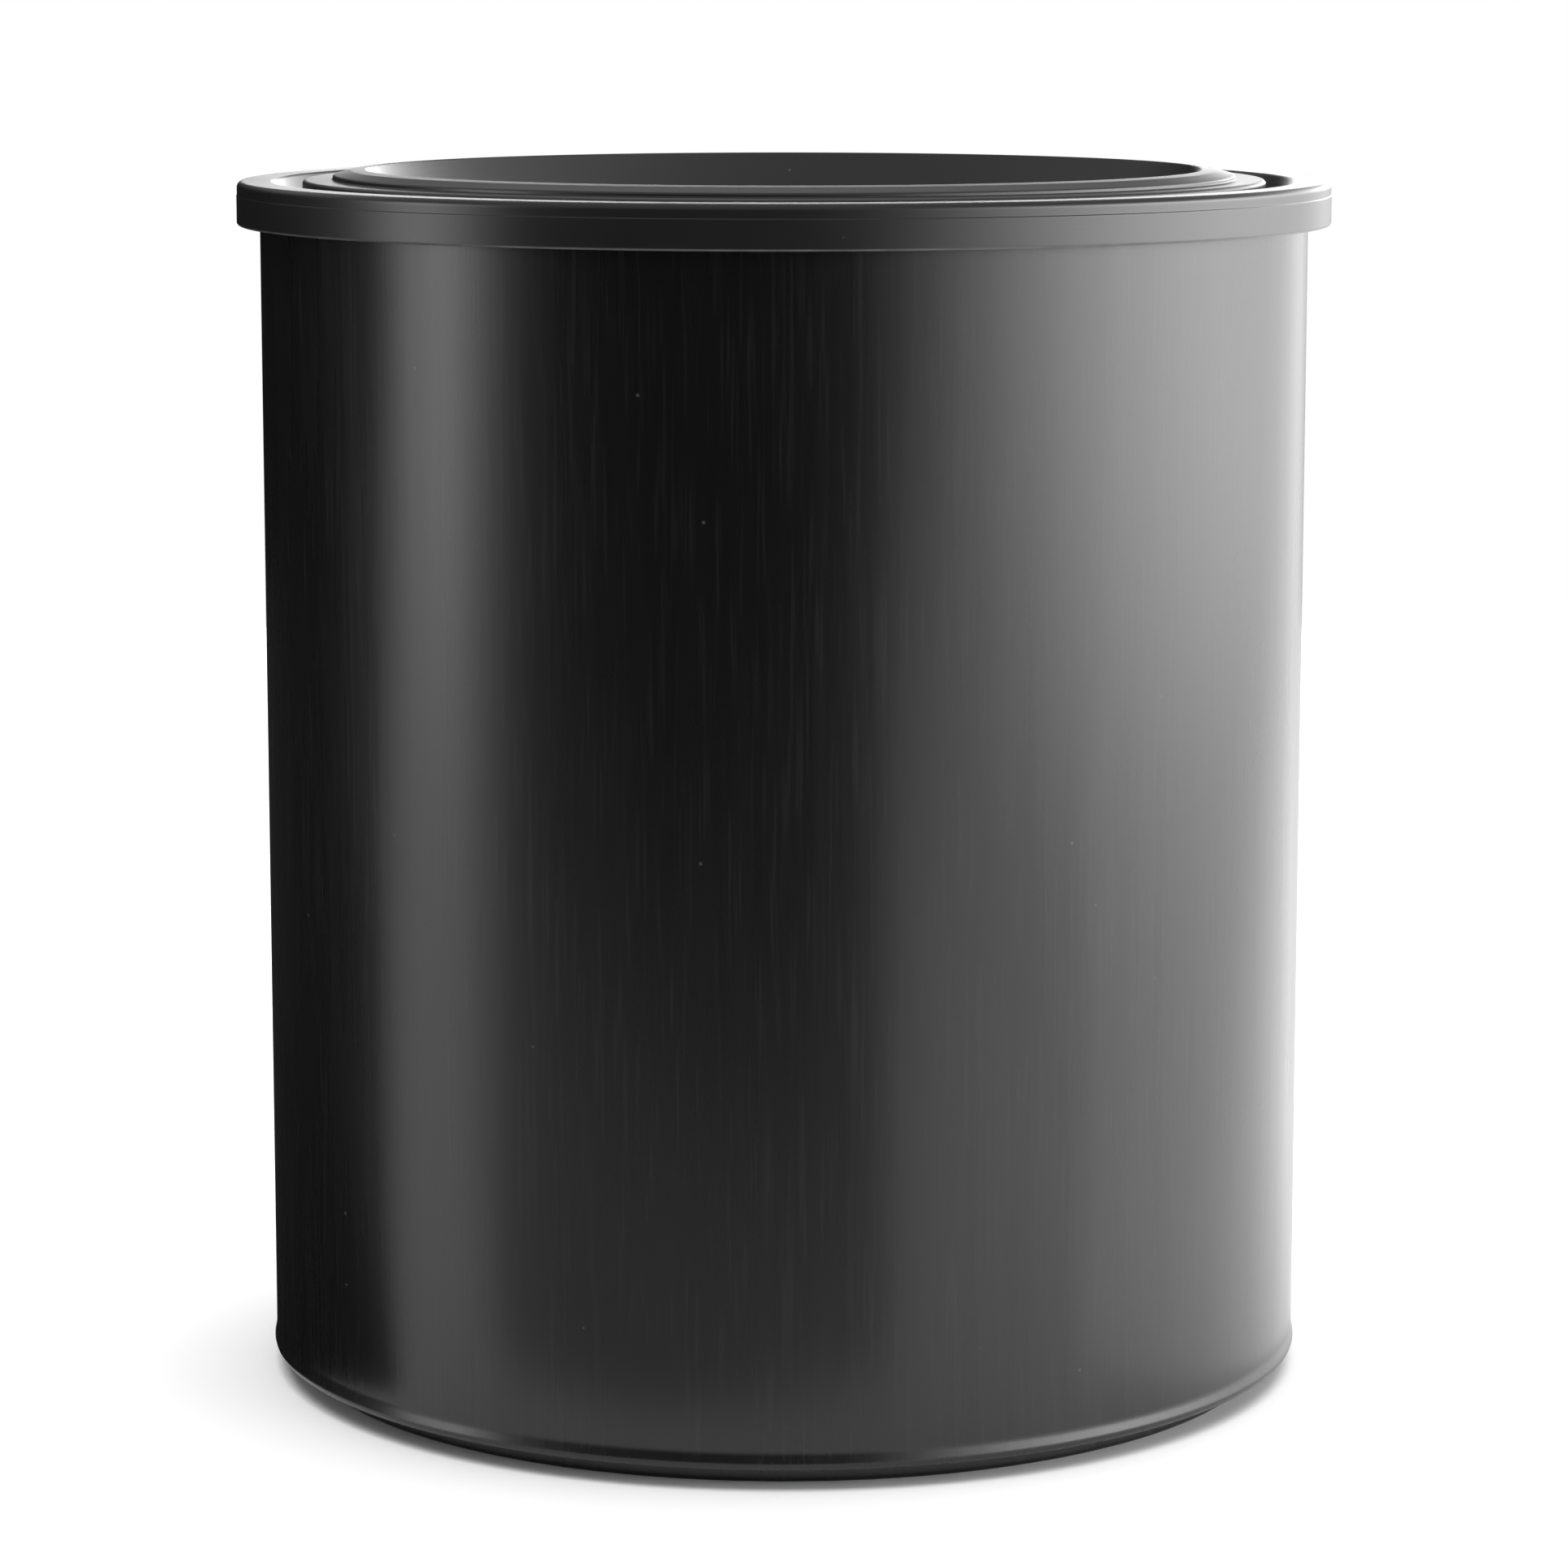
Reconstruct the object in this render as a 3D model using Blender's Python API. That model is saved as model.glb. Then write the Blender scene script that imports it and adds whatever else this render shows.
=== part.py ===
"""Moulded round container with a clipped-on mouth ring and a press-in plug lid.

Three moulded pieces make the whole object. The can is an open shell on a stepped
foot. The ring clips over the can's edge, hangs a short ribbed skirt outside it and
turns a groove and a neck inside it. The lid is an upside-down channel pressed over
that neck, with a deep stepped recess in the middle. Units are metres, +Z is up, and
the origin is the middle of the foot, on the surface that the can stands on.
"""

import math

import bmesh
import bpy
from mathutils import Matrix, Vector

MM = 0.001

# Sizes of the can
CAN_RADIUS = 54.0 * MM
RIM_TOP = 124.2 * MM
CAN_WALL = 1.3 * MM
FLOOR_WALL = 1.6 * MM
FOOT_STEP = 3.1 * MM
FOOT_HEIGHT = 2.0 * MM
LIP_HEIGHT = 1.5 * MM
LIP_STAND = 0.2 * MM
LIP_ROUND = 0.8 * MM
LIP_FLARE = 1.0 * MM

# Sizes of the mouth ring
RING_OVERHANG = 2.4 * MM
RIM_LEAN = 1.3 * MM
RIM_WALL = 1.6 * MM
RIM_ROUND = 1.1 * MM
SKIRT_HEIGHT = 4.4 * MM
SKIRT_WALL = 0.9 * MM
LEG_WALL = 1.0 * MM
GROOVE_DEPTH = 5.4 * MM
GROOVE_WALL = 1.1 * MM
NECK_WALL = 1.3 * MM
RIB_COUNT = 90
RIB_WIDTH = 0.9 * MM
RIB_SHORT = 0.6 * MM

# Sizes of the plug lid
PRY_GAP = 1.8 * MM
LID_STAND = 0.1 * MM
LID_SKIRT_LIFT = 1.2 * MM
LID_WALL = 1.1 * MM
FLANGE_WIDTH = 3.1 * MM
BEAD_WIDTH = 3.35 * MM
BEAD_STEP = 0.45 * MM
BEAD_RISE = 1.05 * MM
LEDGE_DEPTH = 2.7 * MM
LEDGE_WIDTH = 1.8 * MM
RECESS_DRAFT = 1.85 * MM
PANEL_DEPTH = 4.0 * MM
PANEL_SLOPE = 2.6 * MM
PRY_PAD_ANGLE = 16.0
PRY_PAD_AZIMUTH = 238.0
PRY_PAD_STAND = 0.35 * MM

# Fits and finish
FIT = 0.3 * MM
STACK_FIT = 0.4 * MM
EDGE = 0.4 * MM
SEGMENTS = 90

# Radii that follow from the sizes, from the outside inwards
can_bore = CAN_RADIUS - CAN_WALL
ring_radius = CAN_RADIUS + RING_OVERHANG
skirt_bore = ring_radius - SKIRT_WALL
rib_tip = CAN_RADIUS + FIT
leg_outer = can_bore - FIT
leg_inner = leg_outer - LEG_WALL
rim_inner = leg_inner + RIM_LEAN
lid_radius = leg_inner - PRY_GAP
lid_skirt_bore = lid_radius - LID_WALL
bead_outer = lid_radius - FLANGE_WIDTH
bead_inner = bead_outer - BEAD_WIDTH
ledge_outer = bead_inner - RECESS_DRAFT
ledge_inner = ledge_outer - LEDGE_WIDTH
panel_radius = ledge_inner - PANEL_SLOPE
plug_outer = bead_inner + LID_WALL
neck_bore = plug_outer + FIT
neck_outer = neck_bore + NECK_WALL
foot_radius = CAN_RADIUS - FOOT_STEP
foot_bore = bead_outer + STACK_FIT

# Heights that follow from the sizes
rim_under = RIM_TOP - RIM_WALL
can_top = rim_under - FIT
skirt_bottom = RIM_TOP - SKIRT_HEIGHT
groove_floor = RIM_TOP - GROOVE_DEPTH
groove_under = groove_floor - GROOVE_WALL
flange_top = RIM_TOP + LID_STAND
flange_under = flange_top - LID_WALL
neck_top = flange_under - FIT
lid_skirt_bottom = groove_floor + LID_SKIRT_LIFT
bead_step_z = flange_top + BEAD_STEP
bead_peak_z = flange_top + BEAD_RISE
ledge_z = flange_top - LEDGE_DEPTH
panel_z = flange_top - PANEL_DEPTH
can_floor = FOOT_HEIGHT + LIP_HEIGHT
can_under = can_floor - FLOOR_WALL


def arc(centre, radius, start, end, steps=3):
    """Points of a round corner in the outline, from one angle to another in degrees."""
    points = []
    for step in range(steps + 1):
        angle = math.radians(start + (end - start) * step / steps)
        points.append((centre[0] + radius * math.cos(angle), centre[1] + radius * math.sin(angle)))
    return points


def turned_solid(outline, closed):
    """Turn an outline of (radius, height) points round the Z axis into a closed mesh.

    A closed outline makes a ring. An open one starts and ends on the axis.
    """
    mesh = bmesh.new()
    rows = []
    for radius, height in outline:
        if radius < 1e-9:
            rows.append([mesh.verts.new((0.0, 0.0, height))])
            continue
        row = []
        for segment in range(SEGMENTS):
            angle = math.tau * segment / SEGMENTS
            row.append(mesh.verts.new((radius * math.cos(angle), radius * math.sin(angle), height)))
        rows.append(row)
    pairs = list(zip(rows, rows[1:]))
    if closed:
        pairs.append((rows[-1], rows[0]))
    for row, next_row in pairs:
        for segment in range(SEGMENTS):
            following = (segment + 1) % SEGMENTS
            if len(row) == 1:
                mesh.faces.new((row[0], next_row[segment], next_row[following]))
            elif len(next_row) == 1:
                mesh.faces.new((row[segment], next_row[0], row[following]))
            else:
                mesh.faces.new((row[segment], next_row[segment], next_row[following], row[following]))
    bmesh.ops.recalc_face_normals(mesh, faces=mesh.faces)
    return mesh


def satin_plastic(name, colour, roughness):
    """Black moulded plastic: dark, not metallic, with a soft sheen."""
    material = bpy.data.materials.new(name)
    material.use_nodes = True
    shader = material.node_tree.nodes["Principled BSDF"]
    shader.inputs["Base Color"].default_value = (*colour, 1.0)
    shader.inputs["Roughness"].default_value = roughness
    shader.inputs["Metallic"].default_value = 0.0
    return material


def finish_object(name, mesh, material):
    """Put a finished bmesh into the scene as one named, smoothly shaded object."""
    data = bpy.data.meshes.new(name)
    mesh.to_mesh(data)
    mesh.free()
    data.shade_smooth()
    data.set_sharp_from_angle(angle=math.radians(35.0))
    data.materials.append(material)
    piece = bpy.data.objects.new(name, data)
    bpy.context.scene.collection.objects.link(piece)
    return piece


def can_outline():
    """Half section of the can: base, stepped foot, flared lip, straight wall and bore."""
    lip_radius = CAN_RADIUS + LIP_STAND
    outline = [(0.0, can_under), (foot_bore, can_under)]
    outline += [(foot_bore, EDGE), (foot_bore + EDGE, 0.0)]
    outline += arc((foot_radius - EDGE, EDGE), EDGE, -90.0, 0.0, 2)
    outline += [(foot_radius, FOOT_HEIGHT)]
    outline += arc((lip_radius - LIP_ROUND, FOOT_HEIGHT + LIP_ROUND), LIP_ROUND, -90.0, 0.0, 4)
    outline += [(CAN_RADIUS, FOOT_HEIGHT + LIP_ROUND + LIP_FLARE)]
    outline += [(CAN_RADIUS, can_top - EDGE), (CAN_RADIUS - EDGE, can_top)]
    outline += [(can_bore, can_top)]
    outline += arc((can_bore - FLOOR_WALL, can_floor + FLOOR_WALL), FLOOR_WALL, 0.0, -90.0)
    outline += [(0.0, can_floor)]
    return outline


def ring_outline():
    """Closed section of the mouth ring: skirt, round rim, leg, groove floor and neck."""
    slope_foot = RIM_TOP - RIM_WALL - EDGE
    outline = [(skirt_bore, skirt_bottom), (ring_radius - EDGE, skirt_bottom)]
    outline += [(ring_radius, skirt_bottom + EDGE)]
    outline += arc((ring_radius - RIM_ROUND, RIM_TOP - RIM_ROUND), RIM_ROUND, 0.0, 90.0, 4)
    outline += [(rim_inner + EDGE, RIM_TOP), (rim_inner, RIM_TOP - EDGE)]
    outline += [(leg_inner, slope_foot), (leg_inner, groove_floor)]
    outline += [(neck_outer, groove_floor), (neck_outer, neck_top - EDGE)]
    outline += [(neck_outer - EDGE, neck_top), (neck_bore + EDGE, neck_top)]
    outline += [(neck_bore, neck_top - EDGE), (neck_bore, groove_under)]
    outline += [(leg_outer - EDGE, groove_under), (leg_outer, groove_under + EDGE)]
    outline += [(leg_outer, rim_under), (skirt_bore, rim_under)]
    return outline


def lid_outline():
    """Half section of the plug lid: panel, ledge, deep wall, bead, flange and skirt."""
    slope = math.atan2(ledge_z - panel_z, PANEL_SLOPE)
    fillet = 0.25 * PANEL_SLOPE
    outline = [(0.0, panel_z), (panel_radius, panel_z)]
    outline += [(panel_radius + fillet, panel_z + 0.25 * fillet)]
    outline += [(ledge_inner - EDGE * math.cos(slope), ledge_z - EDGE * math.sin(slope))]
    outline += [(ledge_inner + EDGE, ledge_z), (ledge_outer, ledge_z)]
    outline += [(bead_inner, bead_peak_z), (bead_outer - EDGE, bead_step_z)]
    outline += [(bead_outer, bead_step_z - 0.5 * EDGE), (bead_outer, flange_top)]
    outline += arc((lid_radius - EDGE, flange_top - EDGE), EDGE, 90.0, 0.0, 2)
    outline += [(lid_radius, lid_skirt_bottom + 0.5 * EDGE)]
    outline += [(lid_radius - 0.5 * EDGE, lid_skirt_bottom), (lid_skirt_bore, lid_skirt_bottom)]
    outline += [(lid_skirt_bore, flange_under), (plug_outer, flange_under)]
    outline += [(ledge_outer + LID_WALL, ledge_z - LID_WALL), (ledge_inner, ledge_z - LID_WALL)]
    outline += [(panel_radius + fillet, panel_z - LID_WALL), (0.0, panel_z - LID_WALL)]
    return outline


def rib_blocks():
    """Upright ribs between the ring's skirt and the can, one to each face of the skirt.

    They reach a little into the skirt and the rim, so that the union joins them.
    """
    blocks = bmesh.new()
    bite = 0.5 * SKIRT_WALL
    depth = skirt_bore + bite - rib_tip
    bottom = skirt_bottom + RIB_SHORT
    height = rim_under + bite - bottom
    for rib in range(RIB_COUNT):
        turn = Matrix.Rotation(math.tau * (rib + 0.5) / RIB_COUNT, 4, "Z")
        place = Matrix.Translation(Vector((rib_tip + 0.5 * depth, 0.0, bottom + 0.5 * height)))
        size = Matrix.Diagonal(Vector((depth, RIB_WIDTH, height, 1.0)))
        bmesh.ops.create_cube(blocks, size=1.0, matrix=turn @ place @ size)
    return blocks


def raise_pry_pad(mesh):
    """Raise a short stretch of the lid's skirt, where a blade levers the lid up."""
    half = math.radians(0.5 * PRY_PAD_ANGLE)
    middle = math.radians(PRY_PAD_AZIMUTH)
    pad = []
    for face in mesh.faces:
        centre = face.calc_center_median()
        turned = abs(math.remainder(math.atan2(centre.y, centre.x) - middle, math.tau))
        upright = abs(face.normal.z) < 0.01
        outside = centre.xy.length > lid_radius - 0.5 * LID_WALL
        outward = face.normal.xy.dot(centre.xy) > 0.0
        if turned < half and upright and outside and outward:
            pad.append(face)
    raised = bmesh.ops.extrude_face_region(mesh, geom=pad)
    for item in raised["geom"]:
        if isinstance(item, bmesh.types.BMVert):
            outward = item.co.xy.normalized() * PRY_PAD_STAND
            item.co += Vector((outward.x, outward.y, 0.0))
    bmesh.ops.delete(mesh, geom=pad, context="FACES_ONLY")
    bmesh.ops.recalc_face_normals(mesh, faces=mesh.faces)


def make_can():
    black = satin_plastic("can_satin_black", (0.010, 0.010, 0.0105), 0.34)
    return finish_object("can_body", turned_solid(can_outline(), closed=False), black)


def make_ring():
    black = satin_plastic("ring_satin_black", (0.011, 0.011, 0.0115), 0.34)
    ring = finish_object("mouth_ring", turned_solid(ring_outline(), closed=True), black)
    ribs = finish_object("rib_guide", rib_blocks(), black)
    ribs.hide_render = True
    ribs.display_type = "WIRE"
    join = ring.modifiers.new("join_ribs", "BOOLEAN")
    join.operation = "UNION"
    join.solver = "EXACT"
    join.object = ribs
    return ring


def make_lid():
    black = satin_plastic("lid_matte_black", (0.018, 0.018, 0.0185), 0.46)
    mesh = turned_solid(lid_outline(), closed=False)
    raise_pry_pad(mesh)
    return finish_object("plug_lid", mesh, black)


def main():
    for item in list(bpy.data.objects):
        bpy.data.objects.remove(item, do_unlink=True)
    make_can()
    make_ring()
    make_lid()


main()
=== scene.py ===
# %% [markdown]
# # A moulded supply can with a ribbed mouth ring and a plug lid
#
# The object is a round container of the kind that holds candle wax, soap base or resin.
# It is built like a lever-lid paint can, but moulded in black plastic: an open shell on a
# stepped foot, a ring clipped over its edge, and a lid pressed into the ring's neck.
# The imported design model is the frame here. Each moulding is made again round it with
# finer edges, and every place is worked out from that model's own boxes.

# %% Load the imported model
import math

import bmesh
import bpy
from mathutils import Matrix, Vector


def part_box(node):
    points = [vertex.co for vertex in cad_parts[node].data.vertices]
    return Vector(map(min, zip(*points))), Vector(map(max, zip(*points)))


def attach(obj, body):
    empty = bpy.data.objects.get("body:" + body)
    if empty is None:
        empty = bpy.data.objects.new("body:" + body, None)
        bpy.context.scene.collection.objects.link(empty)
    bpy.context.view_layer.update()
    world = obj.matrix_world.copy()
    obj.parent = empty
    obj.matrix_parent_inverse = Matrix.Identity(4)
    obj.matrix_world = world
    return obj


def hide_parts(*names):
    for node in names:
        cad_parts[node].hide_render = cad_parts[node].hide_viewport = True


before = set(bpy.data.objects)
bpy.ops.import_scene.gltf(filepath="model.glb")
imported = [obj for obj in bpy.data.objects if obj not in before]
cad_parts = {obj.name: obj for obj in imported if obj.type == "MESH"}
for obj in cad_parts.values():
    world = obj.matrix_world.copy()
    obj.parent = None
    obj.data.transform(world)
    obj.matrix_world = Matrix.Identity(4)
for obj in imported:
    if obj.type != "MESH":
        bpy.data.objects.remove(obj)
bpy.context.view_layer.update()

MM = 0.001

# %% [markdown]
# ## Sizes
#
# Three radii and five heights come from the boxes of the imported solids. Everything else
# is a wall, a step or a gap measured from those, as a mould maker would dimension it.
# The full circle drawn here bulges a little past the design model's 90 straight sides,
# so the ring is turned a hair smaller to stay inside the same box.

# %% Sizes from the frame
can_low, can_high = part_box("can_body")
ring_low, ring_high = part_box("mouth_ring")
lid_low, lid_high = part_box("plug_lid")

LIP_STAND = 0.2 * MM
LIP_ROUND = 0.8 * MM
LIP_FLARE = 1.0 * MM
CAN_WALL = 1.3 * MM
FLOOR_WALL = 1.6 * MM
FOOT_STEP = 3.1 * MM
FOOT_HEIGHT = 2.0 * MM
LIP_HEIGHT = 1.5 * MM
BOX_CLEAR = 0.04 * MM

can_radius = can_high.x - LIP_STAND
can_top = can_high.z
can_bore = can_radius - CAN_WALL
can_floor = FOOT_HEIGHT + LIP_HEIGHT
can_under = can_floor - FLOOR_WALL
foot_radius = can_radius - FOOT_STEP

RIM_WALL = 1.6 * MM
RIM_LEAN = 1.3 * MM
SKIRT_HEIGHT = 4.4 * MM
SKIRT_WALL = 0.9 * MM
LEG_WALL = 1.0 * MM
GROOVE_WALL = 1.1 * MM
NECK_WALL = 1.3 * MM
FIT = 0.3 * MM

ring_radius = ring_high.x - BOX_CLEAR
rim_top = ring_high.z
rim_under = rim_top - RIM_WALL
skirt_bottom = rim_top - SKIRT_HEIGHT
skirt_bore = ring_radius - SKIRT_WALL
groove_under = ring_low.z
groove_floor = groove_under + GROOVE_WALL
leg_outer = can_bore - FIT
leg_inner = leg_outer - LEG_WALL
rim_inner = leg_inner + RIM_LEAN

LID_WALL = 1.1 * MM
FLANGE_WIDTH = 3.1 * MM
BEAD_WIDTH = 3.35 * MM
BEAD_STEP = 0.45 * MM
BEAD_RISE = 1.05 * MM
LEDGE_WIDTH = 1.8 * MM
RECESS_DRAFT = 1.85 * MM
PANEL_SLOPE = 2.6 * MM
LEDGE_DROP = 1.3 * MM
LID_SKIRT_LIFT = 1.2 * MM
STACK_FIT = 0.4 * MM

lid_radius = lid_high.x
bead_peak_z = lid_high.z
flange_top = bead_peak_z - BEAD_RISE
flange_under = flange_top - LID_WALL
bead_step_z = flange_top + BEAD_STEP
panel_z = lid_low.z + LID_WALL
ledge_z = panel_z + LEDGE_DROP
lid_skirt_bottom = groove_floor + LID_SKIRT_LIFT
lid_skirt_bore = lid_radius - LID_WALL
bead_outer = lid_radius - FLANGE_WIDTH
bead_inner = bead_outer - BEAD_WIDTH
ledge_outer = bead_inner - RECESS_DRAFT
ledge_inner = ledge_outer - LEDGE_WIDTH
panel_radius = ledge_inner - PANEL_SLOPE
plug_outer = bead_inner + LID_WALL
neck_bore = plug_outer + FIT
neck_outer = neck_bore + NECK_WALL
neck_top = flange_under - FIT
foot_bore = bead_outer + STACK_FIT
print("radii in mm:", [round(v / MM, 2) for v in (can_radius, ring_radius, lid_radius)])


# %% [markdown]
# ## Arithmetic on node sockets
#
# Both kinds of node tree used below are sums over a surface. Writing them as Python
# expressions keeps them readable, so one small class wraps a socket: adding, multiplying
# or dividing wrapped sockets adds the Math nodes, and one method makes any other node.

# %% A socket that can be used in sums
class Wire:
    """One output socket of a node tree. Arithmetic on it adds Math nodes to the tree."""

    def __init__(self, tree, socket):
        self.tree = tree
        self.socket = socket

    def node(self, kind, settings=None, inputs=None, output=0):
        """Add a node: its settings first, then the values or links of its sockets."""
        added = self.tree.nodes.new(kind)
        for name, value in (settings or {}).items():
            setattr(added, name, value)
        for name, value in (inputs or {}).items():
            if isinstance(value, Wire):
                self.tree.links.new(value.socket, added.inputs[name])
            else:
                added.inputs[name].default_value = value
        return Wire(self.tree, added.outputs[output])

    def also(self, output):
        """Another output of the node that this wire comes from."""
        return Wire(self.tree, self.socket.node.outputs[output])

    def math(self, operation, *values):
        return self.node("ShaderNodeMath", {"operation": operation}, dict(enumerate(values)))

    def __add__(self, other):
        return self.math("ADD", self, other)

    def __radd__(self, other):
        return self.math("ADD", other, self)

    def __sub__(self, other):
        return self.math("SUBTRACT", self, other)

    def __rsub__(self, other):
        return self.math("SUBTRACT", other, self)

    def __mul__(self, other):
        return self.math("MULTIPLY", self, other)

    def __rmul__(self, other):
        return self.math("MULTIPLY", other, self)

    def __truediv__(self, other):
        return self.math("DIVIDE", self, other)

    def __rtruediv__(self, other):
        return self.math("DIVIDE", other, self)

    def __mod__(self, other):
        return self.math("MODULO", self, other)

    def vector(self, operation, other):
        """Vector Math with another vector, wrapped or plain."""
        return self.node("ShaderNodeVectorMath", {"operation": operation}, {0: self, 1: other})

    def xyz(self):
        """The three parts of a vector."""
        first = self.node("ShaderNodeSeparateXYZ", inputs={0: self})
        return first, first.also(1), first.also(2)

    def ramp(self, low, high, start=0.0, end=1.0):
        """Ease from start to end as this value goes from low to high."""
        settings = {"interpolation_type": "SMOOTHSTEP"}
        inputs = {"Value": self, "From Min": low, "From Max": high, "To Min": start, "To Max": end}
        return self.node("ShaderNodeMapRange", settings, inputs)


print("sums and nodes are written with the Wire class")


# %% [markdown]
# ## Outlines with rounded corners
#
# Every moulding is a turned shape, so it is drawn as half a section. A real mould has no
# sharp corners, and the thin bright lines on a black part are its rounded edges catching
# light. An outline is given as corners, each with the radius of its rounding, which takes
# up less than half of the stretch on either side. Points close beside every rounding hold
# the flat stretches flat when the surface is shaded smooth.

# %% Rounded outlines
ARC_STEPS = 6
LONGEST_REACH = 0.45
HOLD = 0.12 * MM
LONGEST_STEP = 4.0 * MM


def held(points):
    """Add points along the straight stretches: one near each end, and some between."""
    kept = [points[0]]
    for start, end in zip(points, points[1:]):
        length = (end - start).length
        if length > 4.0 * HOLD:
            along = (end - start) / length
            inner_start = start + along * HOLD
            inner_end = end - along * HOLD
            steps = max(1, math.ceil((length - 2.0 * HOLD) / LONGEST_STEP))
            kept += [inner_start.lerp(inner_end, step / steps) for step in range(steps + 1)]
        kept.append(end)
    return kept


def rounded(corners, closed=False):
    """Points of an outline given as (radius, height, rounding) corners."""
    count = len(corners)
    spots = [Vector(corner[:2]) for corner in corners]
    points = []
    for index, (_, _, rounding) in enumerate(corners):
        here = spots[index]
        at_end = not closed and index in (0, count - 1)
        if rounding == 0.0 or at_end:
            points.append(here)
            continue
        before = spots[index - 1] - here
        after = spots[(index + 1) % count] - here
        half = 0.5 * before.angle(after)
        longest = LONGEST_REACH * min(before.length, after.length)
        reach = min(rounding / math.tan(half), longest)
        radius = reach * math.tan(half)
        inwards = (before.normalized() + after.normalized()).normalized()
        centre = here + inwards * (radius / math.sin(half))
        first = here + before.normalized() * reach - centre
        sweep = first.angle_signed(here + after.normalized() * reach - centre)
        for step in range(ARC_STEPS + 1):
            turn = -sweep * step / ARC_STEPS
            spoke = Vector((
                first.x * math.cos(turn) - first.y * math.sin(turn),
                first.x * math.sin(turn) + first.y * math.cos(turn),
            ))
            points.append(centre + spoke)
    if closed:
        points.append(points[0].copy())
    return held(points)


print("points on a rounded corner:", ARC_STEPS + 1)

# %% [markdown]
# ## A lathe made of nodes
#
# A turned piece follows one rule: each point of the outline goes round the axis. A Screw
# modifier or a bmesh spin could do it too. Here a Geometry Nodes tree starts from a flat
# grid with one row for each outline point and one column for each step round the circle,
# and moves each grid point to its place. Welding then closes the seam and the two poles.

# %% The lathe tree
def new_tree(name, sockets):
    """A geometry node tree with these named inputs, and the wires that carry them."""
    tree = bpy.data.node_groups.new(name, "GeometryNodeTree")
    tree.is_modifier = True
    for label, kind in sockets:
        tree.interface.new_socket(label, in_out="INPUT", socket_type=kind)
    tree.interface.new_socket("Moulding", in_out="OUTPUT", socket_type="NodeSocketGeometry")
    given = tree.nodes.new("NodeGroupInput")
    wires = {label: Wire(tree, given.outputs[label]) for label, _ in sockets}
    return tree, wires


def close_tree(tree, geometry, finish):
    """Finish a tree: realize what it made and give it its finish."""
    real = geometry.node("GeometryNodeRealizeInstances", inputs={0: geometry})
    painted = real.node("GeometryNodeSetMaterial", inputs={"Geometry": real, "Material": finish})
    result = tree.nodes.new("NodeGroupOutput")
    tree.links.new(painted.socket, result.inputs[0])
    return tree


def lathe_tree():
    """A grid moved so that its rows are the outline's points and its columns go round."""
    tree, given = new_tree("lathe", [
        ("Outline", "NodeSocketGeometry"),
        ("Segments", "NodeSocketInt"),
        ("Weld distance", "NodeSocketFloat"),
        ("Finish", "NodeSocketMaterial"),
    ])
    outline, segments = given["Outline"], given["Segments"]
    rows = outline.node("GeometryNodeAttributeDomainSize", {"component": "MESH"}, {0: outline})
    counts = {"Vertices X": segments + 1, "Vertices Y": rows}
    sheet = outline.node("GeometryNodeMeshGrid", inputs=counts)
    index = outline.node("GeometryNodeInputIndex")
    turn = (index / rows).math("FLOOR", index / rows) * math.tau / segments
    spot = outline.node("GeometryNodeInputPosition")
    picked = outline.node(
        "GeometryNodeSampleIndex",
        {"data_type": "FLOAT_VECTOR", "domain": "POINT"},
        {"Geometry": outline, "Value": spot, "Index": index % rows},
    )
    radius, _, height = picked.xyz()
    place = outline.node("ShaderNodeCombineXYZ", inputs={
        0: radius * turn.math("COSINE", turn),
        1: radius * turn.math("SINE", turn),
        2: height,
    })
    moved = sheet.node("GeometryNodeSetPosition", inputs={"Geometry": sheet, "Position": place})
    weld = {"Geometry": moved, "Distance": given["Weld distance"]}
    welded = moved.node("GeometryNodeMergeByDistance", inputs=weld)
    smooth = welded.node("GeometryNodeSetShadeSmooth", inputs={"Geometry": welded})
    return close_tree(tree, smooth, given["Finish"])


LATHE = lathe_tree()
print("lathe tree:", len(LATHE.nodes), "nodes")

# %% [markdown]
# ## From a tree to a plain mesh
#
# A modifier's inputs are set before the object is first evaluated. The evaluated result is
# then kept as an ordinary mesh, with its place in its points and its faces outwards, which
# the signed volume tells: it is positive when the faces of a closed shape look outwards.

# %% Bake a tree into a mesh
SEGMENTS = 360
WELD = 0.001 * MM
CUBIC_CM = 1e-6


def run_tree(source, tree, values):
    """The plain mesh that a node tree makes from a source object."""
    modifier = source.modifiers.new("shape", "NODES")
    modifier.node_group = tree
    for item in tree.interface.items_tree:
        if item.in_out == "INPUT" and item.name in values:
            modifier[item.identifier] = values[item.name]
    graph = bpy.context.evaluated_depsgraph_get()
    mesh = bpy.data.meshes.new_from_object(source.evaluated_get(graph))
    bpy.data.objects.remove(source, do_unlink=True)
    return mesh


def face_outwards(mesh):
    """Turn the faces of a closed mesh outwards and return its volume in cm3."""
    shape = bmesh.new()
    shape.from_mesh(mesh)
    volume = shape.calc_volume(signed=True)
    if volume < 0.0:
        bmesh.ops.reverse_faces(shape, faces=shape.faces)
        shape.to_mesh(mesh)
    open_edges = sum(1 for edge in shape.edges if not edge.is_manifold)
    shape.free()
    return abs(volume) / CUBIC_CM, open_edges


def line_object(name, points):
    """An object whose mesh is a line through (radius, height) points, in the XZ plane."""
    mesh = bpy.data.meshes.new(name)
    edges = [(index, index + 1) for index in range(len(points) - 1)]
    mesh.from_pydata([(point.x, 0.0, point.y) for point in points], edges, [])
    line = bpy.data.objects.new(name, mesh)
    bpy.context.scene.collection.objects.link(line)
    return line


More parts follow.
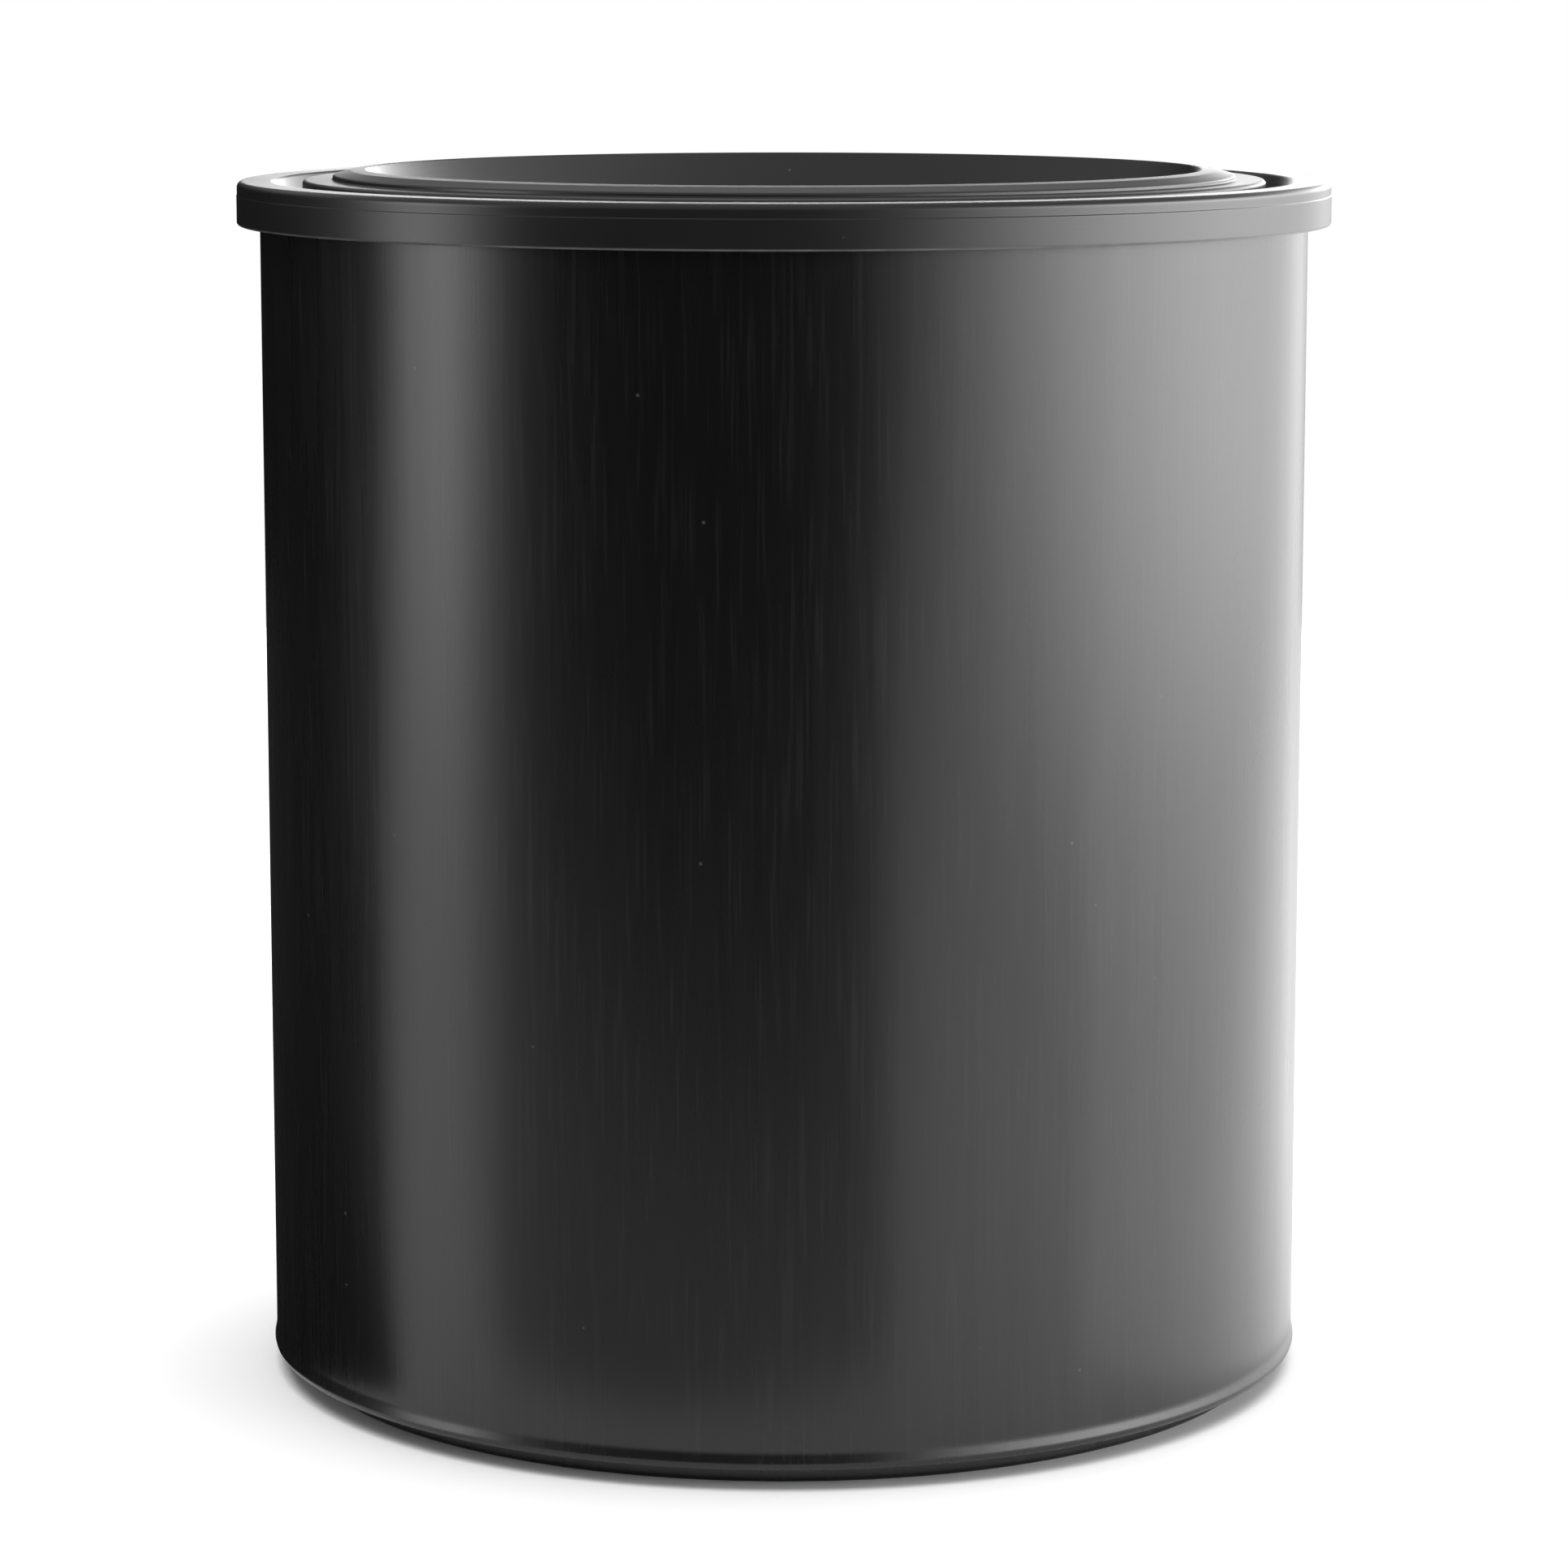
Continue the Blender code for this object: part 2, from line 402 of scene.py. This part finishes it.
def turned_mesh(name, points, finish):
    """A closed mesh turned from an outline on the lathe tree."""
    values = {"Segments": SEGMENTS, "Weld distance": WELD, "Finish": finish}
    mesh = run_tree(line_object(name + "_outline", points), LATHE, values)
    mesh.name = name
    volume, open_edges = face_outwards(mesh)
    print(name, "points", len(points), "faces", len(mesh.polygons))
    print(name, "cm3", round(volume, 2), "open edges", open_edges)
    return mesh


def show(name, mesh):
    """Link a finished mesh into the scene as an object at the origin."""
    piece = bpy.data.objects.new(name, mesh)
    bpy.context.scene.collection.objects.link(piece)
    return piece


print("steps round the circle:", SEGMENTS)

# %% [markdown]
# ## Black plastic, three ways
#
# All three mouldings are the same kind of black plastic, so one function sets up the
# shader: not metallic, index of refraction 1.5, very dark. What differs is the surface
# left by the mould: drawn streaks on the long wall, a smooth satin on the ring, and sand
# texture on the lid's panel. The finer the relief, the smaller its bump distance.

# %% The common shader
PLASTIC_IOR = 1.5
EVEN = (1.0, 1.0, 1.0)
COOLNESS = 1.03


def plastic(name):
    """A new black plastic: the material, its shader and the surface coordinates."""
    material = bpy.data.materials.new(name)
    material.use_nodes = True
    tree = material.node_tree
    shader = tree.nodes["Principled BSDF"]
    shader.inputs["IOR"].default_value = PLASTIC_IOR
    shader.inputs["Metallic"].default_value = 0.0
    place = Wire(tree, tree.nodes.new("ShaderNodeTexCoord").outputs["Object"])
    return material, shader, place


def noise(place, scale, detail=2.0, stretch=EVEN):
    """Smooth noise from 0 to 1. Scale is in features per metre, stretch shares it per axis."""
    squeezed = place.vector("MULTIPLY", stretch)
    inputs = {"Vector": squeezed, "Scale": scale, "Detail": detail}
    return place.node("ShaderNodeTexNoise", inputs=inputs)


def dots(place, scale, size, stretch=EVEN):
    """1 inside small spots scattered about one to a cell, 0 elsewhere."""
    squeezed = place.vector("MULTIPLY", stretch)
    distance = place.node("ShaderNodeTexVoronoi", inputs={"Vector": squeezed, "Scale": scale})
    return distance.ramp(0.5 * size, size, 1.0, 0.0)


def grey(level):
    """A near neutral black or grey, a touch cool, as carbon-filled plastic is."""
    return (level, level, level * COOLNESS, 1.0)


def tint(dark, light, amount):
    """A colour between two greys, or past the light one when the amount is over 1."""
    settings = {"data_type": "RGBA", "blend_type": "MIX", "clamp_factor": False}
    inputs = {0: amount, 6: grey(dark), 7: grey(light)}
    return amount.node("ShaderNodeMix", settings, inputs, output=2)


def set_finish(shader, colour, roughness, height, depth):
    """Link a finish into its shader. Height is relief from 0 to 1, depth its size in metres."""
    inputs = {"Strength": 1.0, "Distance": depth, "Height": height}
    bump = height.node("ShaderNodeBump", inputs=inputs)
    links = height.tree.links
    links.new(colour.socket, shader.inputs["Base Color"])
    links.new(roughness.socket, shader.inputs["Roughness"])
    links.new(bump.socket, shader.inputs["Normal"])


print("index of refraction:", PLASTIC_IOR)

# %% [markdown]
# ### The can's wall
#
# A tall, thin wall drags along the mould's core and cavity as it comes out, which leaves
# faint upright streaks over its whole height. They show as lines slightly duller or
# shinier than the rest. Handling adds a few short scuffs and specks of dust. Noise that
# is squeezed along Z gives streaks that run right round without a seam. The last number
# of each streak or scuff below is its width over its length.

# %% Streaked satin black
BROAD_STREAK = (1.0, 1.0, 0.004)
MIDDLE_STREAK = (1.0, 1.0, 0.015)
FINE_STREAK = (1.0, 1.0, 0.030)
TALL_PATCH = (1.0, 1.0, 0.5)
LIGHT_SCUFF = (1.0, 1.0, 0.045)
DARK_SCUFF = (1.0, 1.0, 0.035)
ELSEWHERE = (0.3, 0.2, 0.1)
WALL_RELIEF = 0.03 * MM


def streaked_black():
    """The can's finish: streaks in three widths, with scuffs and specks."""
    material, shader, place = plastic("can_streaked_black")
    broad = noise(place, 240.0, 1.0, BROAD_STREAK)
    middle = noise(place, 900.0, 1.0, MIDDLE_STREAK)
    fine = noise(place, 2600.0, 1.0, FINE_STREAK)
    patches = noise(place, 45.0, 1.0, TALL_PATCH).ramp(0.35, 0.65)
    cloud = noise(place, 28.0, 3.0)
    grain = noise(place, 3000.0, 1.0)
    light_scuffs = dots(place, 110.0, 0.030, LIGHT_SCUFF)
    dark_scuffs = dots(place.vector("ADD", ELSEWHERE), 75.0, 0.030, DARK_SCUFF)
    specks = dots(place, 130.0, 0.030)
    drawn = (middle * 0.5 + fine * 0.5) * (0.5 + patches * 0.5)
    hairs = fine.ramp(0.52, 0.75)
    lightness = drawn * 0.6 + hairs * 0.7 + light_scuffs * 4.0 + specks * 7.0
    roughness = 0.20 + broad * 0.06 + drawn * 0.075 + cloud * 0.04
    roughness = roughness + light_scuffs * 0.1 + dark_scuffs * 0.1
    relief = broad * 0.5 + drawn * 0.08 + grain * 0.05 + dark_scuffs * 0.05
    set_finish(shader, tint(0.002, 0.006, lightness), roughness, relief, WALL_RELIEF)
    return material


CAN_FINISH = streaked_black()
print("nodes in the can's finish:", len(CAN_FINISH.node_tree.nodes))

# %% [markdown]
# ### The ring
#
# The ring is moulded in a polished cavity and stays smooth and even. Fine turning marks
# from the mould run round it. Its skirt's lower edge, where the mould halves meet, has a
# thin parting line whose rounded edge catches light; that light is painted on as a lighter, uneven
# band: a painted highlight.

# %% Smooth satin black
ROUND_STREAK = (0.02, 0.02, 1.0)
LINE_FULL = 0.12 * MM
LINE_GONE = 0.28 * MM
RING_RELIEF = 0.006 * MM


def smooth_black():
    """The ring's finish: smooth, with a painted highlight along the parting line."""
    material, shader, place = plastic("ring_smooth_black")
    _, _, height = place.xyz()
    lower_edge = height.ramp(skirt_bottom + LINE_FULL, skirt_bottom + LINE_GONE, 1.0, 0.0)
    turning = noise(place, 5200.0, 1.0, ROUND_STREAK)
    cloud = noise(place, 60.0, 3.0)
    grain = noise(place, 3800.0, 1.0)
    specks = dots(place, 260.0, 0.04)
    # painted highlight: the band at the skirt's lower edge is painted lighter, as if lit, and made
    # a little rougher
    painted_edge_highlight = lower_edge * noise(place, 300.0, 2.0)
    colour = tint(0.004, 0.012, cloud * 0.5 + painted_edge_highlight * 9.0 + specks * 6.0)
    roughness = 0.29 + cloud * 0.07 + painted_edge_highlight * 0.15 + specks * 0.15
    set_finish(shader, colour, roughness, turning * 0.5 + grain * 0.4, RING_RELIEF)
    return material


RING_FINISH = smooth_black()
print("nodes in the ring's finish:", len(RING_FINISH.node_tree.nodes))

# %% [markdown]
# ### The lid
#
# The lid's flange, bead and recess walls are smooth, but the flat panel in the middle was
# moulded against a sand-blasted insert. Its grain is about a third of a millimetre, which
# scatters light and makes the panel look greyer than the rest. A mask by radius and height
# keeps the grain on the upper face of the panel only.

# %% Satin black with a sand-textured panel
SAND_FADE_IN = 0.5 * MM
SAND_FADE_OUT = 0.1 * MM
SKIN_LOW = 0.6 * MM
SKIN_HIGH = 0.3 * MM
SAND_RELIEF = 0.045 * MM


def sanded_black():
    """The lid's finish: smooth outside the panel, sand-textured on it."""
    material, shader, place = plastic("lid_sanded_black")
    x, y, height = place.xyz()
    radius = (x * x + y * y).math("SQRT", x * x + y * y)
    inside = radius.ramp(panel_radius - SAND_FADE_IN, panel_radius + SAND_FADE_OUT, 1.0, 0.0)
    upper = height.ramp(panel_z - SKIN_LOW, panel_z - SKIN_HIGH)
    sanded = inside * upper
    sand = noise(place, 3300.0, 2.0)
    pits = noise(place, 1300.0, 2.0)
    cloud = noise(place, 40.0, 3.0)
    specks = dots(place, 240.0, 0.04)
    turning = noise(place, 4200.0, 1.0, ROUND_STREAK)
    colour = tint(0.007, 0.024, cloud * 0.3 + sanded * (0.35 + sand * 0.4) + specks * 3.0)
    roughness = 0.33 + cloud * 0.06 + sanded * (0.14 + pits * 0.06) + specks * 0.1
    smooth_relief = (1.0 - sanded) * turning * 0.12
    relief = smooth_relief + sanded * (sand * 0.7 + pits * 0.3)
    set_finish(shader, colour, roughness, relief, SAND_RELIEF)
    return material


LID_FINISH = sanded_black()
print("nodes in the lid's finish:", len(LID_FINISH.node_tree.nodes))

# %% [markdown]
# ## The can
#
# The can is one moulding. Its wall is straight and flares at the bottom into a soft lip, a
# little prouder than the wall. Under the lip it steps in to a foot ring, which fits round
# the bead of another can's lid. The gate mark in the middle of the base is where the
# plastic was injected.

# %% Turn the can
GATE_RADIUS = 4.0 * MM
GATE_DEPTH = 0.6 * MM
NIB_RADIUS = 1.1 * MM
NIB_HEIGHT = 0.3 * MM


def can_corners():
    """Half section of the can, from the middle of its base round to its floor inside."""
    flare_foot = can_radius + LIP_STAND * (LIP_ROUND + LIP_FLARE) / LIP_FLARE
    gate_top = can_under + GATE_DEPTH
    nib = gate_top - NIB_HEIGHT
    return [
        (0.0, nib, 0.0), (NIB_RADIUS, nib, 0.1 * MM), (NIB_RADIUS, gate_top, 0.1 * MM),
        (GATE_RADIUS, gate_top, 0.3 * MM), (GATE_RADIUS + GATE_DEPTH, can_under, 0.3 * MM),
        (foot_bore, can_under, 0.5 * MM), (foot_bore, 0.0, 0.4 * MM),
        (foot_radius, 0.0, 0.45 * MM), (foot_radius, FOOT_HEIGHT, 0.2 * MM),
        (flare_foot, FOOT_HEIGHT, LIP_ROUND),
        (can_radius, FOOT_HEIGHT + LIP_ROUND + LIP_FLARE, 3.0 * MM),
        (can_radius, can_top, 0.35 * MM), (can_bore, can_top, 0.25 * MM),
        (can_bore, can_floor, FLOOR_WALL), (0.0, can_floor, 0.0),
    ]


can_mesh = turned_mesh("can_shell", rounded(can_corners()), CAN_FINISH)
can_shell = show("can_shell", can_mesh)
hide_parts("can_body")
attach(can_shell, "can")

# %% [markdown]
# ## The mouth ring
#
# The ring hooks over the can's edge. Outside it hangs a short skirt, inside it turns a
# groove, where a blade goes to lever the lid, and then a neck that the lid plugs into.
# Its rim leans inwards like a funnel. All of it is one closed outline on the same lathe.

# %% Turn the ring
RIM_ROUND = 1.1 * MM
SKIRT_LINE_DROP = 1.35 * MM
SKIRT_LINE_DEPTH = 0.05 * MM


def ring_corners():
    """Half section of the ring, from the skirt's lower edge round and back."""
    slope_foot = rim_under - 0.4 * MM
    line_z = rim_top - SKIRT_LINE_DROP
    return [
        (skirt_bore, skirt_bottom, 0.12 * MM), (ring_radius - 0.15 * MM, skirt_bottom, 0.08 * MM),
        (ring_radius, skirt_bottom + 0.18 * MM, 0.15 * MM),
        (ring_radius, line_z - 2.0 * SKIRT_LINE_DEPTH, 0.1 * MM),
        (ring_radius - SKIRT_LINE_DEPTH, line_z, 0.1 * MM),
        (ring_radius - SKIRT_LINE_DEPTH, rim_top, RIM_ROUND),
        (rim_inner, rim_top, 0.4 * MM), (leg_inner, slope_foot, 0.8 * MM),
        (leg_inner, groove_floor, 0.35 * MM), (neck_outer, groove_floor, 0.3 * MM),
        (neck_outer, neck_top, 0.4 * MM), (neck_bore, neck_top, 0.4 * MM),
        (neck_bore, groove_under, 0.15 * MM), (leg_outer, groove_under, 0.4 * MM),
        (leg_outer, rim_under, 0.1 * MM), (skirt_bore, rim_under, 0.1 * MM),
    ]


ring_mesh = turned_mesh("ring_shell", rounded(ring_corners(), closed=True), RING_FINISH)
ring_shell = show("ring_shell", ring_mesh)
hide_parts("mouth_ring")
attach(ring_shell, "can")

# %% [markdown]
# ### The ribs under the skirt
#
# Upright ribs fill the gap between the skirt and the can's wall and keep the ring centred.
# One rib is modelled with rounded edges. A node tree puts a copy of it at every
# step round the circle, with a small chance variation in length, and makes the copies real.
# The Random Value node keeps its least and most single numbers on its sockets 2 and 3.

# %% Repeat the ribs
RIB_COUNT = 90
RIB_WIDTH = 0.9 * MM
RIB_SHORT = 0.6 * MM
RIB_SPREAD = 0.12 * MM
RIB_ROUND = 0.15 * MM
RIB_BITE = 0.3 * MM
RIB_SEED = 7
LEAST, MOST = 2, 3


def one_rib():
    """One rib at azimuth zero, reaching a little into the skirt and the rim."""
    inner = can_radius + FIT
    outer = skirt_bore + RIB_BITE
    bottom = skirt_bottom + RIB_SHORT
    top = rim_under + RIB_BITE
    shape = bmesh.new()
    bmesh.ops.create_cube(shape, size=1.0)
    for point in shape.verts:
        point.co.x = (inner + outer) / 2.0 + point.co.x * (outer - inner)
        point.co.y *= RIB_WIDTH
        point.co.z = (top + bottom) / 2.0 + point.co.z * (top - bottom)
    free = [point for point in shape.verts if point.co.x < outer - RIB_BITE and point.co.z < top]
    edges = [edge for edge in shape.edges if any(point in free for point in edge.verts)]
    bmesh.ops.bevel(shape, geom=edges, offset=RIB_ROUND, segments=2, profile=0.5, affect="EDGES")
    mesh = bpy.data.meshes.new("one_rib")
    shape.to_mesh(mesh)
    shape.free()
    rib = bpy.data.objects.new("one_rib", mesh)
    bpy.context.scene.collection.objects.link(rib)
    return rib


def ribs_tree():
    """Copies of one rib round the axis, each dropped by a chance amount."""
    tree, given = new_tree("rib_circle", [
        ("Rib", "NodeSocketGeometry"),
        ("Count", "NodeSocketInt"),
        ("Length spread", "NodeSocketFloat"),
        ("Seed", "NodeSocketInt"),
        ("Finish", "NodeSocketMaterial"),
    ])
    rib, count = given["Rib"], given["Count"]
    index = rib.node("GeometryNodeInputIndex")
    turn = (index + 0.5) * math.tau / count
    draw = {LEAST: 0.0, MOST: given["Length spread"], "ID": index, "Seed": given["Seed"]}
    drop = rib.node("FunctionNodeRandomValue", {"data_type": "FLOAT"}, draw, output=1)
    centre = rib.node("ShaderNodeCombineXYZ", inputs={2: drop})
    points = rib.node("GeometryNodePoints", inputs={"Count": count, "Position": centre})
    aim = rib.node("ShaderNodeCombineXYZ", inputs={2: turn})
    placing = {"Points": points, "Instance": rib, "Rotation": aim}
    copies = points.node("GeometryNodeInstanceOnPoints", inputs=placing)
    return close_tree(tree, copies, given["Finish"])


rib_values = {
    "Count": RIB_COUNT,
    "Length spread": RIB_SPREAD,
    "Seed": RIB_SEED,
    "Finish": RING_FINISH,
}
rib_mesh = run_tree(one_rib(), ribs_tree(), rib_values)
rib_mesh.name = "skirt_ribs"
skirt_ribs = show("skirt_ribs", rib_mesh)
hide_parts("mouth_ring")
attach(skirt_ribs, "can")
print("ribs:", RIB_COUNT, "faces", len(rib_mesh.polygons))

# %% [markdown]
# ## The plug lid
#
# The lid is an upside-down channel pressed over the neck. Going inwards there is a flat
# flange, a bead that rises to a thin bright edge, a deep wall, a rounded ledge, a slope and
# the flat panel. On one side the skirt has a short pad, a little prouder than the rest,
# with a nick at one end: that is where the lid is levered up.

# %% Turn the lid
LID_GATE_DEPTH = 0.3 * MM
LID_NIB_DEPTH = 0.1 * MM
BEAD_FALL = 0.12 * MM
PAD_AZIMUTH = 238.0
PAD_ANGLE = 16.0
PAD_STAND = 0.35 * MM
PAD_DROP = 0.35 * MM
NICK_ANGLE = 1.0
NICK_HEIGHT = 0.7 * MM
NICK_LIFT = 0.6


def lid_corners():
    """Half section of the lid, from the middle of its panel out and back underneath."""
    under = panel_z - LID_WALL
    gate_top = under + LID_GATE_DEPTH
    nib = under + LID_NIB_DEPTH
    shoulder = bead_inner + 0.45 * BEAD_WIDTH
    return [
        (0.0, panel_z, 0.0), (panel_radius, panel_z, 0.7 * MM),
        (ledge_inner, ledge_z, 0.9 * MM), (ledge_outer, ledge_z, 0.35 * MM),
        (bead_inner, bead_peak_z, 0.16 * MM), (shoulder, bead_peak_z - BEAD_FALL, 1.2 * MM),
        (bead_outer, bead_step_z, 0.3 * MM), (bead_outer, flange_top, 0.15 * MM),
        (lid_radius, flange_top, 0.4 * MM), (lid_radius, lid_skirt_bottom, 0.2 * MM),
        (lid_skirt_bore, lid_skirt_bottom, 0.15 * MM), (lid_skirt_bore, flange_under, 0.3 * MM),
        (plug_outer, flange_under, 0.3 * MM),
        (ledge_outer + LID_WALL, ledge_z - LID_WALL, 0.6 * MM),
        (ledge_inner, ledge_z - LID_WALL, 0.6 * MM), (panel_radius, under, 0.5 * MM),
        (GATE_RADIUS + GATE_DEPTH, under, 0.2 * MM), (GATE_RADIUS, gate_top, 0.2 * MM),
        (NIB_RADIUS, gate_top, 0.1 * MM), (NIB_RADIUS, nib, 0.1 * MM), (0.0, nib, 0.0),
    ]


def raise_pad(mesh):
    """Push the pad's stretch of the skirt outwards and lift the nick's lower edge.

    Both take in part of a step more on each side, so that rounding can't miss a column.
    """
    step = 360.0 / SEGMENTS
    pad_half = 0.5 * PAD_ANGLE + 0.5 * step
    nick_half = 0.5 * NICK_ANGLE + 0.1 * step
    moved = 0
    for point in mesh.vertices:
        radius = math.hypot(point.co.x, point.co.y)
        if radius < lid_radius - 0.5 * LID_WALL:
            continue
        away = math.degrees(math.atan2(point.co.y, point.co.x)) - PAD_AZIMUTH
        away = (away + 180.0) % 360.0 - 180.0
        if abs(away) < pad_half and point.co.z < flange_top - PAD_DROP:
            scale = (radius + PAD_STAND) / radius
            point.co.x *= scale
            point.co.y *= scale
            moved += 1
        if abs(away + 0.5 * PAD_ANGLE) < nick_half:
            share = 1.0 - (point.co.z - lid_skirt_bottom) / NICK_HEIGHT
            point.co.z += max(0.0, share) * NICK_HEIGHT * NICK_LIFT
    return moved


lid_mesh = turned_mesh("lid_shell", rounded(lid_corners()), LID_FINISH)
print("pad points moved:", raise_pad(lid_mesh))
lid_shell = show("lid_shell", lid_mesh)
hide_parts("plug_lid")
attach(lid_shell, "lid")

# %% [markdown]
# ## Floor, light and camera
#
# A black object on white is lit by what it reflects. The backdrop and the floor are pale
# and overexposed, a wide soft light on the right gives the long gradient, a narrow one on
# the left gives the thin highlight, and the room in front stays dark, so the middle of the
# can goes nearly black. Dark cards laid in front and on the left keep the pale floor out
# of the dark parts of that reflection, and a bright card on the right carries the gradient
# down to the foot. Only reflections see the cards.

# %% Floor and cards
FLOOR = [(-0.6, -0.6), (0.6, -0.6), (0.6, 0.6), (-0.6, 0.6)]
FRONT_CARD = [(-0.064, -0.062), (-1.15, -0.46), (0.46, -1.2), (0.030, -0.095)]
SIDE_CARD = [(-0.056, -0.037), (-0.052, 0.02), (-0.03, 0.62), (-0.62, 0.62), (-0.62, 0.030)]
RIGHT_CARD = [(0.062, -0.060), (0.60, -0.25), (0.60, 0.60), (0.30, 0.60), (0.058, 0.02)]
CARD_LIFT = 0.3 * MM
CARD_BLACK = 0.01
CARD_GREY = 0.24
MATT = 0.9


def flat_stage(name, corners, height, finish):
    """A flat sheet at a height, which isn't part of the object."""
    mesh = bpy.data.meshes.new(name)
    mesh.from_pydata([(x, y, height) for x, y in corners], [], [range(len(corners))])
    mesh.materials.append(finish)
    sheet = show(name, mesh)
    return sheet


def plain_finish(name, level, roughness, glow=0.0):
    """A neutral finish for the floor and the cards, which may glow by itself."""
    material = bpy.data.materials.new(name)
    material.use_nodes = True
    shader = material.node_tree.nodes["Principled BSDF"]
    shader.inputs["Base Color"].default_value = (level, level, level, 1.0)
    shader.inputs["Roughness"].default_value = roughness
    shader.inputs["Specular IOR Level"].default_value = 0.1
    shader.inputs["Emission Color"].default_value = (1.0, 1.0, 1.0, 1.0)
    shader.inputs["Emission Strength"].default_value = glow
    return material


def fading_card():
    """A card that is grey near the can and black further out."""
    material = plain_finish("fading_card", CARD_BLACK, MATT)
    tree = material.node_tree
    place = Wire(tree, tree.nodes.new("ShaderNodeTexCoord").outputs["Object"])
    _, depth, _ = place.xyz()
    colour = tint(CARD_BLACK, CARD_GREY, depth.ramp(-0.36, -0.12))
    tree.links.new(colour.socket, tree.nodes["Principled BSDF"].inputs["Base Color"])
    return material


pale = plain_finish("pale_floor", 0.72, 0.8)
dark = plain_finish("dark_card", 0.004, MATT)
bright = plain_finish("bright_card", 0.98, MATT, 0.3)
fading = fading_card()
floor = flat_stage("floor", FLOOR, 0.0, pale)
cards = [
    flat_stage("front_card", FRONT_CARD, CARD_LIFT, fading),
    flat_stage("side_card", SIDE_CARD, CARD_LIFT, dark),
    flat_stage("right_card", RIGHT_CARD, CARD_LIFT, bright),
]
for card in cards:
    card.visible_camera = False
    card.visible_diffuse = False
    card.visible_shadow = False
print("floor and cards:", [sheet.name for sheet in (floor, *cards)])

# %% [markdown]
# The surroundings are a world shader that depends on the direction only: soft windows of
# light, written with the same socket arithmetic. Azimuth is 0 on the camera's side, 90 on
# the right, 180 behind and 270 on the left, in degrees. The windows end at a height, and
# an even ceiling takes over above them. The camera sees plain white.

# %% Surroundings
FRONT_DARK = 0.006
RIGHT_WINDOW = 6.7
LEFT_WINDOW = 3.5
BACK_STRIP = 8.0
CEILING = 0.5
OVERHEAD_PLACE = (0.0, 0.1, 1.5)
OVERHEAD_SIZE = (2.0, 2.0)
OVERHEAD_RADIANCE = 4.2


def surroundings():
    """The world: white for the camera, windows of light for everything else."""
    world = bpy.data.worlds.new("surroundings")
    bpy.context.scene.world = world
    world.use_nodes = True
    tree = world.node_tree
    background = tree.nodes["Background"]
    background.inputs["Color"].default_value = (1.0, 1.0, 1.0, 1.0)
    direction = Wire(tree, tree.nodes.new("ShaderNodeTexCoord").outputs["Generated"])
    x, y, up = direction.xyz()
    turn = x.math("ARCTAN2", x, y * -1.0) * (180.0 / math.pi)
    turn = (turn + 360.0) % 360.0
    right = turn.ramp(16.0, 82.0) * turn.ramp(92.0, 140.0, 1.0, 0.38)
    right = right * turn.ramp(152.0, 172.0, 1.0, 0.0)
    left = turn.ramp(266.0, 274.0) * turn.ramp(286.0, 298.0, 1.0, 0.0)
    low = up.ramp(0.22, 0.45, 1.0, 0.0)
    horizon = 1.0 + up.ramp(0.0, 0.10) * 0.7
    behind = turn.ramp(148.0, 160.0) * turn.ramp(182.0, 190.0, 1.0, 0.0)
    behind = behind * up.ramp(0.0, 0.03) * up.ramp(0.10, 0.2, 1.0, 0.0)
    windows = low * horizon * (right * RIGHT_WINDOW + left * LEFT_WINDOW)
    lit = FRONT_DARK + windows + behind * BACK_STRIP + (1.0 - low) * CEILING
    seen = direction.node("ShaderNodeLightPath", output="Is Camera Ray")
    level = seen + (1.0 - seen) * lit
    tree.links.new(level.socket, background.inputs["Strength"])


def soft_light(name, place, size, radiance):
    """An area light of this radiance, facing the can."""
    data = bpy.data.lights.new(name, "AREA")
    data.shape = "RECTANGLE"
    data.size, data.size_y = size
    data.energy = radiance * math.pi * size[0] * size[1]
    light = bpy.data.objects.new(name, data)
    light.location = place
    aim = Vector((0.0, 0.0, 0.5 * rim_top)) - light.location
    light.rotation_euler = aim.to_track_quat("-Z", "Y").to_euler()
    light.visible_camera = False
    bpy.context.scene.collection.objects.link(light)
    return light


surroundings()
overhead = soft_light("overhead", OVERHEAD_PLACE, OVERHEAD_SIZE, OVERHEAD_RADIANCE)
overhead.visible_glossy = False
bpy.context.scene.view_settings.view_transform = "Standard"
print("overhead light, watts:", round(overhead.data.energy, 1))

# %% [markdown]
# The camera is a long lens a little over the rim, so the round mouth shows as a thin
# ellipse and the wall stays almost straight. Its place is given in can radii, which keeps
# the view when the can's size changes.

# %% Camera
EYE_DISTANCE = 9.9
EYE_OVER_RIM = 0.41
TARGET_DROP = 0.5 * MM
LENS = 118.0

camera_data = bpy.data.cameras.new("camera")
camera_data.lens = LENS
camera = bpy.data.objects.new("camera", camera_data)
eye = Vector((0.0, -EYE_DISTANCE * can_radius, rim_top + EYE_OVER_RIM * can_radius))
target = Vector((0.0, 0.0, 0.5 * rim_top - TARGET_DROP))
camera.location = eye
camera.rotation_euler = (target - eye).to_track_quat("-Z", "Y").to_euler()
bpy.context.scene.collection.objects.link(camera)
bpy.context.scene.camera = camera
print("camera height", round(eye.z, 4), "distance", round(-eye.y, 4))
